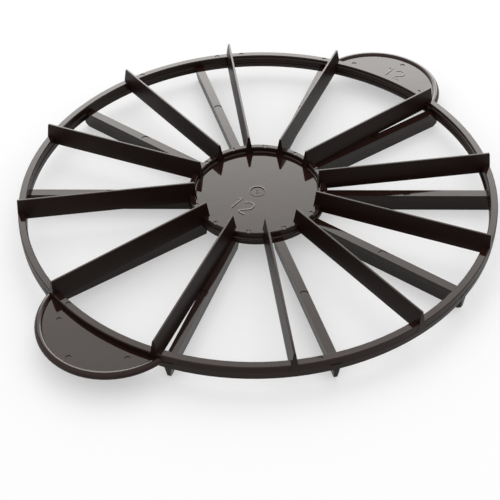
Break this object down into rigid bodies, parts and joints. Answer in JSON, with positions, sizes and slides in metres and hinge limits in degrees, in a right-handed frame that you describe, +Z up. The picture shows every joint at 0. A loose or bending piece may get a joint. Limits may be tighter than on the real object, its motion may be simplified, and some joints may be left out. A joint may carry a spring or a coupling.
{
  "type": "cake divider",
  "caption": "Round plastic cake and bread divider with wedge blades on both faces, a hub plate and two half-moon handles.",
  "frame": {"origin": "under the centre of the hub, on the plane that the lower blades rest on", "axes": "+Z up, out of the face with twelve blades; +X towards the handle whose numeral reads upright from outside the ring"},
  "size_m": [0.3184, 0.2652, 0.024],
  "materials": {
    "brown_plastic": "gloss"
  },
  "bodies": {
    "root": {"cake_divider": "brown_plastic"}
  },
  "joints": []
}
